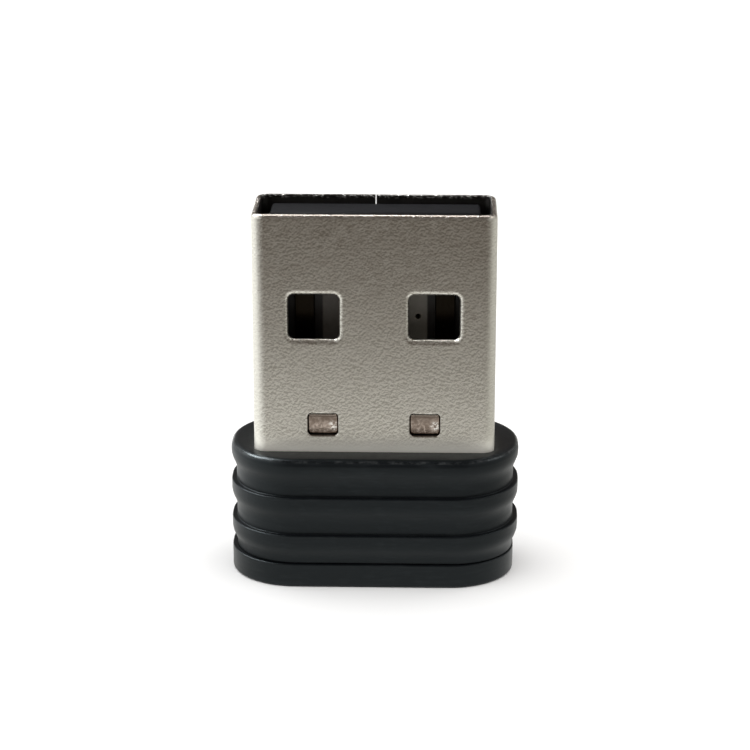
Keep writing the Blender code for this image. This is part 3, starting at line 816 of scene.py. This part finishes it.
def fill_face(bm, rings):
    """Triangles over a flat face, between its outline and its holes."""
    verts = [vert for ring in rings for vert in ring]
    edges = []
    first = 0
    for ring in rings:
        count = len(ring)
        edges += [(first + i, first + (i + 1) % count) for i in range(count)]
        first += count
    flat = [Vector((vert.co.x, vert.co.y)) for vert in verts]
    _, cut_edges, triangles, sources, edge_sources, _ = delaunay_2d_cdt(flat, edges, [], 0, 1e-7)
    outlines = {frozenset(edge) for edge, source in zip(cut_edges, edge_sources) if source}
    sides = [
        [frozenset((triangle[corner - 1], triangle[corner])) for corner in range(3)] for triangle in triangles
    ]
    beside = {}
    for number, triangle_sides in enumerate(sides):
        for side in triangle_sides:
            beside.setdefault(side, []).append(number)
    in_face = {}
    waiting = []
    for side, numbers in beside.items():
        if len(numbers) == 1:
            in_face[numbers[0]] = side in outlines
            waiting.append(numbers[0])
    while waiting:
        number = waiting.pop()
        for side in sides[number]:
            for other in beside[side]:
                if other not in in_face:
                    in_face[other] = in_face[number] != (side in outlines)
                    waiting.append(other)
    for number, triangle in enumerate(triangles):
        if in_face[number]:
            bm.faces.new([verts[sources[corner][0]] for corner in triangle])


def cut_across(bm, axis, position):
    """Cuts the flat sheet right through at a position on its X or Y axis."""
    place, normal = Vector(), Vector()
    place[axis], normal[axis] = position, 1.0
    geometry = bm.verts[:] + bm.edges[:] + bm.faces[:]
    bmesh.ops.bisect_plane(bm, geom=geometry, plane_co=place, plane_no=normal, dist=1e-6)


def build_shell():
    """Stamps the flat sheet, cuts it where it bends, then pushes the lances in and folds it."""
    bm = bmesh.new()
    outline = sheet_outline()
    rolls = [RIM_ROLL if z > PLUG_TOP - TOLERANCE else EDGE_ROLL for _, z in outline]
    edges = [stamp_edge(bm, outline, rolls, EDGE_BURR)]
    for holes, roll in ((window_outlines(), WINDOW_ROLL), (lance_slits(), SLIT_ROLL)):
        edges += [stamp_edge(bm, hole, [roll] * len(hole), HOLE_BURR) for hole in holes]
    fill_face(bm, [rings[0] for rings in edges])
    fill_face(bm, [rings[-1] for rings in edges])
    for start in BEND_STARTS:
        for step in range(BEND_STEPS + 1):
            cut_across(bm, 0, start + BEND_LENGTH * step / BEND_STEPS)
        cut_across(bm, 0, start - SUPPORT)
        cut_across(bm, 0, start + BEND_LENGTH + SUPPORT)
    lance_top = LANCE_LEVEL + LANCE_SIZE[1] / 2
    for step in range(LANCE_ROWS + 1):
        cut_across(bm, 1, lance_top - LANCE_BEND * step / LANCE_ROWS)
    for vert in bm.verts:
        along, level, depth = vert.co.x, vert.co.y, -vert.co.z
        plan = fold(along, depth + lance_depth(along, level))
        vert.co = (plan.x, plan.y, level)
    add_piece("plug_shell_sheet", bm, [NICKEL], "plug_shell")


# ---------------------------------------------------------------------------------------------------------
# Cap: housing and end cover, swept round the cap's outline
# ---------------------------------------------------------------------------------------------------------


def cap_loop(bm, inset, level, shift=0.0):
    """Vertices round the cap's outline, moved in by an inset."""
    radius = max(CAP_CORNER - inset, 0.2)
    points = rounded_rectangle(CAP_WIDTH / 2 - inset, CAP_DEPTH / 2 - inset, radius, CAP_STEPS)
    return [bm.verts.new((x + shift, y, level)) for x, y in points]


def slot_loop(bm, inset, level):
    """Vertices round the slot for the plug, as many as round the cap."""
    half_width = PLUG_WIDTH / 2 + SLOT_CLEARANCE - inset
    half_depth = PLUG_DEPTH / 2 + SLOT_CLEARANCE - inset
    radius = max(PLUG_CORNER + SLOT_CLEARANCE - inset, 0.05)
    points = rounded_rectangle(half_width, half_depth, radius, CAP_STEPS)
    return [bm.verts.new((x, y, level)) for x, y in points]


def rib_corners():
    """Section of the housing's outside, from its top edge to its foot, as (inset, level, radius)."""
    corners = []
    for top, following in zip(RIB_TOPS, (*RIB_TOPS[1:], HOUSING_FOOT)):
        middle = top - RIB_HEIGHT
        corners.append((0.0, top, CAP_TOP_EDGE if top == CAP_TOP else RIB_EDGE))
        corners.append((0.0, middle + RIB_SLOPE, RIB_SWEEP))
        corners.append((RIB_PROJECTION, middle - RIB_SLOPE, RIB_SWEEP))
        corners.append((RIB_PROJECTION, following, CREASE))
    return corners


def build_housing():
    """The cap: ribs outside, a hollow inside, and a roof with the plug's slot."""
    bm = bmesh.new()
    inner = RIB_PROJECTION + CAP_WALL
    roof = CAP_TOP - CAP_ROOF
    corners = [
        (CAP_TOP_FLAT_INSET, CAP_TOP, 0.0),
        *rib_corners(),
        (inner, HOUSING_FOOT, CREASE),
        (inner, roof, ROOF_FILLET),
        (inner + 0.2, roof, 0.0),
    ]
    loops = [cap_loop(bm, inset, level) for inset, level in fillet_path(corners)]
    slot = (
        (-CREASE, roof),
        (0.0, roof + CREASE),
        (0.0, CAP_TOP - SLOT_CHAMFER),
        (-0.3 * SLOT_CHAMFER, CAP_TOP - 0.3 * SLOT_CHAMFER),
        (-SLOT_CHAMFER, CAP_TOP),
    )
    loops += [slot_loop(bm, inset, level) for inset, level in slot]
    join_loops(bm, loops, closed=True)
    add_piece("ribbed_cap", bm, [CAP_PLASTIC], "ribbed_housing")


def build_cover():
    """The end cover: the lowest rib, with a skirt that stands up inside the housing."""
    bm = bmesh.new()
    shift = (COVER_LOW.x + COVER_HIGH.x) / 2
    trim = (CAP_WIDTH - (COVER_HIGH.x - COVER_LOW.x)) / 2
    skirt = RIB_PROJECTION + CAP_WALL + COVER_SKIRT_GAP
    hollow = skirt + COVER_SKIRT_WALL
    closing = hollow + 0.3
    corners = [
        (closing, 0.0, 0.0),
        (trim, 0.0, COVER_FOOT_EDGE),
        (trim, COVER_TOP, RIB_EDGE),
        (skirt, COVER_TOP, CREASE),
        (skirt, COVER_HIGH.z, RIB_EDGE),
        (hollow, COVER_HIGH.z, RIB_EDGE),
        (hollow, COVER_FLOOR, COVER_HOLLOW_FILLET),
        (closing, COVER_FLOOR, 0.0),
    ]
    loops = [
        cap_loop(bm, inset, level, shift if level < COVER_TOP + TOLERANCE else 0.0)
        for inset, level in fillet_path(corners)
    ]
    join_loops(bm, loops)
    bm.faces.new(loops[0])
    bm.faces.new(loops[-1])
    add_piece("cap_end_cover", bm, [CAP_PLASTIC], "end_cover")


# ---------------------------------------------------------------------------------------------------------
# Inside pieces
# ---------------------------------------------------------------------------------------------------------

CONTACTS = ("contact_vbus", "contact_d_minus", "contact_d_plus", "contact_ground")

# Node, share of the width that each plated end takes, inset of the body, its material and its slot
TWO_ENDED_DEVICES = (
    ("power_inductor", 0.24, 0.03, FERRITE, "ferrite"),
    ("ferrite_bead", 0.22, 0.03, FERRITE, "ferrite"),
    ("chip_antenna", 0.14, 0.03, WHITE_CERAMIC, "antenna_ceramic"),
    *((f"capacitor_{number}", 0.25, 0.02, TAN_CERAMIC, "capacitor_ceramic") for number in range(1, 9)),
    *((f"resistor_{number}", 0.22, 0.015, EPOXY, "epoxy") for number in range(1, 5)),
)
DEVICE_EDGE = 0.05

# Sections of the flat packages from the board up, as (share of the thickness, inset)
CHIP_SECTION = ((0.0, 0.03), (0.04, 0.0), (0.28, 0.0), (0.30, 0.03), (0.92, 0.05), (0.98, 0.06), (1.0, 0.10))
CAN_SECTION = (
    (0.0, 0.03),
    (0.05, 0.0),
    (0.50, 0.0),
    (0.53, 0.14),
    (0.60, 0.20),
    (0.90, 0.20),
    (0.97, 0.23),
    (1.0, 0.30),
)
# Node, section, radius of its dimple and its distance from the sides, materials above and below a share of the
# thickness, that share, and its slot
PACKAGES = (
    ("wifi_chip", CHIP_SECTION, (0.28, 0.75), (EPOXY, LANDS), 0.29, "epoxy"),
    ("voltage_regulator", CHIP_SECTION, (0.14, 0.42), (EPOXY, LANDS), 0.29, "epoxy"),
    ("crystal", CAN_SECTION, (0.12, 0.70), (LID_METAL, DARK_CERAMIC), 0.51, "can_metal"),
)
DIMPLE_RINGS = ((1.0, 0.0), (0.9, 0.02), (0.75, 0.035))
DIMPLE_STEPS = 24


def repaint(node, material):
    """Gives a CAD node that stays in view its own material."""
    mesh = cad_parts[node].data
    mesh.materials.clear()
    mesh.materials.append(material)


def copy_of(node):
    """The CAD node's surface in millimetres, with its corners joined again."""
    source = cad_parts[node]
    bm = bmesh.new()
    bm.from_mesh(source.data)
    bmesh.ops.transform(bm, matrix=Matrix.Scale(1 / MM, 4) @ source.matrix_world, verts=bm.verts)
    bmesh.ops.remove_doubles(bm, verts=bm.verts, dist=TOLERANCE)
    return bm


def moulded(node, radius):
    """A moulding with the CAD node's shape and with its sharp edges broken."""
    bm = copy_of(node)
    bmesh.ops.dissolve_limit(bm, angle_limit=math.radians(1.0), verts=bm.verts, edges=bm.edges)
    sharp = [edge for edge in bm.edges if edge.is_convex and edge.calc_face_angle(0.0) > math.radians(60)]
    bmesh.ops.bevel(bm, geom=sharp, offset=radius, segments=2, affect="EDGES", clamp_overlap=True)
    add_piece(f"{node}_moulding", bm, [INSERT_PLASTIC], node)


def solder_joint(node):
    """A joint drawn round by its own surface tension."""
    bm = copy_of(node)
    bmesh.ops.subdivide_edges(bm, edges=bm.edges, cuts=1, use_grid_fill=True)
    for _ in range(3):
        bmesh.ops.smooth_vert(bm, verts=bm.verts, factor=0.5, use_axis_x=True, use_axis_y=True, use_axis_z=True)
    add_piece(f"{node}_joint", bm, [SOLDER], node)


def two_ended(node, end_share, body_inset, material, slot):
    """A device with a plated end at either side of a slightly slimmer body, swept along its width."""
    low, high = node_box(node)
    middle = (low + high) / 2
    half_depth = (high.y - low.y) / 2
    half_height = (high.z - low.z) / 2
    end = (high.x - low.x) * end_share
    side = [(0.0, DEVICE_EDGE), (DEVICE_EDGE * 0.3, DEVICE_EDGE * 0.3), (DEVICE_EDGE, 0.0)]
    side += [(end - 0.02, 0.0), (end, body_inset * 0.4), (end + 0.01, body_inset)]
    stations = [(low.x + along, inset) for along, inset in side]
    stations += [(high.x - along, inset) for along, inset in side[::-1]]
    bm = bmesh.new()
    loops = []
    for along, inset in stations:
        points = rounded_rectangle(half_depth - inset, half_height - inset, DEVICE_EDGE, 3)
        loops.append([bm.verts.new((along, middle.y + y, middle.z + z)) for y, z in points])
    body_from, body_to = low.x + end + 0.005, high.x - end - 0.005
    for face in join_loops(bm, loops):
        face.material_index = 1 if body_from < face.calc_center_median().x < body_to else 0
    bm.faces.new(loops[0])
    bm.faces.new(loops[-1])
    add_piece(f"{node}_device", bm, [SOLDER, material], node)


def package(node, section, dimple, materials, split, slot):
    """A flat package built up from the board, with a round dimple beside its first land."""
    low, high = node_box(node)
    middle = (low + high) / 2
    thickness = high.y - low.y
    half_width, half_height = (high.x - low.x) / 2, (high.z - low.z) / 2
    bm = bmesh.new()
    loops = []
    for share, inset in section:
        points = rounded_rectangle(half_width - inset, half_height - inset, 0.10, 4)
        loops.append([bm.verts.new((x, z, share * thickness)) for x, z in points])
    for face in join_loops(bm, loops):
        face.material_index = 1 if face.calc_center_median().z < split * thickness else 0
    bm.faces.new(loops[0]).material_index = 1
    radius, from_sides = dimple
    rims = []
    for size, sink in DIMPLE_RINGS:
        points = []
        for step in range(DIMPLE_STEPS):
            turn = math.tau * step / DIMPLE_STEPS
            x = from_sides - half_width + size * radius * math.cos(turn)
            z = half_height - from_sides + size * radius * math.sin(turn)
            points.append(bm.verts.new((x, z, thickness - sink)))
        rims.append(points)
    fill_face(bm, [loops[-1], rims[0]])
    join_loops(bm, rims)
    bm.faces.new(rims[-1])
    for vert in bm.verts:
        x, z, rise = vert.co
        vert.co = (middle.x + x, low.y + rise, middle.z + z)
    add_piece(f"{node}_package", bm, materials, node)


def build_inside():
    """Everything behind the shell and in the cap."""
    repaint("circuit_board", BOARD_MASK)
    for contact in CONTACTS:
        repaint(contact, CONTACT_METAL)
    moulded("contact_carrier", 0.05)
    moulded("plug_insert", 0.06)
    for details in PACKAGES:
        package(*details)
    for details in TWO_ENDED_DEVICES:
        two_ended(*details)
    solder_joint("shell_solder_left")
    solder_joint("shell_solder_right")


# ---------------------------------------------------------------------------------------------------------
# Studio, in metres
# ---------------------------------------------------------------------------------------------------------

WHITE = (1.0, 1.0, 1.0)
BLACK = (0.0, 0.0, 0.0)

FLOOR_SIDE = 4.0
FLOOR_TINTS = (0.93, 0.93, 0.93), (0.95, 0.95, 0.95)
BACKDROP_RADIUS = 0.8

# The table as the metal mirrors it. Its places are in millimetres, because a material's place is.
TABLE_SIZE = 1.6
TABLE_RISE = 0.00005
TABLE_FAR, TABLE_NEAR = -49.0, -12.0
TABLE_MIDDLE, TABLE_SIDE = 5.0, 22.0
TABLE_NEAR_COLOUR = (1.04, 1.04, 1.01)
TABLE_LEFT_COLOUR = (1.42, 1.45, 1.44)
TABLE_RIGHT_COLOUR = (0.72, 0.72, 0.68)
TABLE_FAR_COLOUR = (0.082, 0.058, 0.041)

ROOM_COLOUR = (0.17, 0.15, 0.135)
ROOM_SIDES = ((-1.0, (1.30, 1.33, 1.34)), (1.0, (0.62, 0.62, 0.60)))
ROOM_SIDE_FROM, ROOM_SIDE_TO = 0.28, 0.80

# Lights that show in reflections: name, direction, size, radiance and colour
LIGHT_DISTANCE = 0.45
MIRRORED_LIGHTS = (
    ("key_left", (-0.57, 0.22, 0.79), (0.19, 0.19), 32.0, (0.95, 0.98, 1.0)),
    ("side_left", (-0.80, 0.10, 0.45), (0.34, 0.34), 1.5, WHITE),
    ("fill_right", (0.70, 0.10, 0.62), (0.20, 0.20), 2.2, WHITE),
    ("top_back", (0.0, 0.40, 0.92), (0.26, 0.11), 9.0, WHITE),
)
LIGHT_TARGET = Vector((0.0, 0.0, 0.010))
OVERHEAD_DISTANCE = 0.9
OVERHEAD_SIZE = (1.6, 1.6)
OVERHEAD_RADIANCE = 1.85


def stage_object(name, bm, rise, material):
    """Puts a bmesh in the scene as part of the studio."""
    mesh = bpy.data.meshes.new(name)
    bm.to_mesh(mesh)
    bm.free()
    mesh.materials.append(material)
    obj = bpy.data.objects.new(name, mesh)
    obj.location.z = rise
    bpy.context.scene.collection.objects.link(obj)
    return obj


def level_square(name, side, rise, material):
    """Level square that faces up."""
    bm = bmesh.new()
    bmesh.ops.create_grid(bm, x_segments=1, y_segments=1, size=side / 2)
    return stage_object(name, bm, rise, material)


def show_only_to(obj, camera=False, reflections=False):
    """Hides an object from every kind of ray but the ones asked for."""
    obj.visible_camera = camera
    obj.visible_glossy = reflections
    obj.visible_diffuse = False
    obj.visible_transmission = False
    obj.visible_volume_scatter = False
    obj.visible_shadow = False


def floor_material():
    """Pale matt floor with a hardly visible unevenness."""
    n = Nodes("pale_floor")
    colour = n.mix(n.noise(0.05, 2.0, 0.5), *FLOOR_TINTS)
    return n.set(Base_Color=colour, Roughness=0.8, Specular_IOR_Level=0.0)


def backdrop_material():
    """Evenly lit white."""
    n = Nodes("white_backdrop")
    return n.set(Base_Color=BLACK, Emission_Color=WHITE, Emission_Strength=1.0)


def table_reflection_material():
    """What the metal mirrors of the table: bright beside the adapter, brown and dim further out in front."""
    n = Nodes("table_reflection")
    near = n.remap(n.axis("Y"), TABLE_FAR, TABLE_NEAR, smooth=True)
    left = n.remap(n.axis("X"), -TABLE_MIDDLE, -TABLE_SIDE, smooth=True)
    right = n.remap(n.axis("X"), TABLE_MIDDLE, TABLE_SIDE, smooth=True)
    beside = n.mix(right, n.mix(left, TABLE_NEAR_COLOUR, TABLE_LEFT_COLOUR), TABLE_RIGHT_COLOUR)
    return n.set(
        Base_Color=BLACK,
        Specular_IOR_Level=0.0,
        Emission_Color=n.mix(near, TABLE_FAR_COLOUR, beside),
        Emission_Strength=1.0,
    )


def area_light(name, direction, distance, size, radiance, colour=WHITE):
    """Soft box that faces the adapter from a direction, with a set brightness."""
    data = bpy.data.lights.new(name, "AREA")
    data.shape = "RECTANGLE"
    data.size, data.size_y = size
    data.energy = radiance * math.pi * size[0] * size[1]
    data.color = colour
    light = bpy.data.objects.new(name, data)
    away = Vector(direction).normalized()
    light.location = away * distance + LIGHT_TARGET
    light.rotation_euler = away.to_track_quat("Z", "Y").to_euler()
    bpy.context.scene.collection.objects.link(light)
    return light


def build_world():
    """Dim room: brown in front and behind, brighter towards the left and less so towards the right."""
    world = bpy.data.worlds.new("studio")
    world.use_nodes = True
    tree = world.node_tree
    coordinates = tree.nodes.new("ShaderNodeTexCoord")
    direction = tree.nodes.new("ShaderNodeSeparateXYZ")
    tree.links.new(coordinates.outputs["Generated"], direction.inputs["Vector"])
    colour = ROOM_COLOUR
    for end, side_colour in ROOM_SIDES:
        side = tree.nodes.new("ShaderNodeMapRange")
        side.interpolation_type = "SMOOTHSTEP"
        side.inputs["From Min"].default_value = ROOM_SIDE_FROM * end
        side.inputs["From Max"].default_value = ROOM_SIDE_TO * end
        tree.links.new(direction.outputs["X"], side.inputs["Value"])
        mix = tree.nodes.new("ShaderNodeMix")
        mix.data_type = "RGBA"
        put(tree, colour, mix.inputs["A"])
        put(tree, side_colour, mix.inputs["B"])
        tree.links.new(side.outputs["Result"], mix.inputs["Factor"])
        colour = mix.outputs["Result"]
    background = tree.nodes["Background"]
    tree.links.new(colour, background.inputs["Color"])
    background.inputs["Strength"].default_value = 1.0
    bpy.context.scene.world = world


def build_studio():
    """Floor, the table that only reflections see, the backdrop that only the camera sees, room and lights."""
    level_square("floor", FLOOR_SIDE, 0.0, floor_material())
    table = level_square("table_reflection", TABLE_SIZE, TABLE_RISE, table_reflection_material())
    show_only_to(table, reflections=True)
    bm = bmesh.new()
    bmesh.ops.create_icosphere(bm, subdivisions=4, radius=BACKDROP_RADIUS)
    show_only_to(stage_object("backdrop", bm, 0.0, backdrop_material()), camera=True)
    build_world()
    for name, direction, size, radiance, colour in MIRRORED_LIGHTS:
        area_light(name, direction, LIGHT_DISTANCE, size, radiance, colour).visible_diffuse = False
    overhead = area_light("overhead", (0.0, 0.0, 1.0), OVERHEAD_DISTANCE, OVERHEAD_SIZE, OVERHEAD_RADIANCE)
    overhead.visible_glossy = False
    bpy.context.scene.view_settings.view_transform = "Standard"


make_camera()
build_shell()
build_housing()
build_cover()
build_inside()
build_studio()
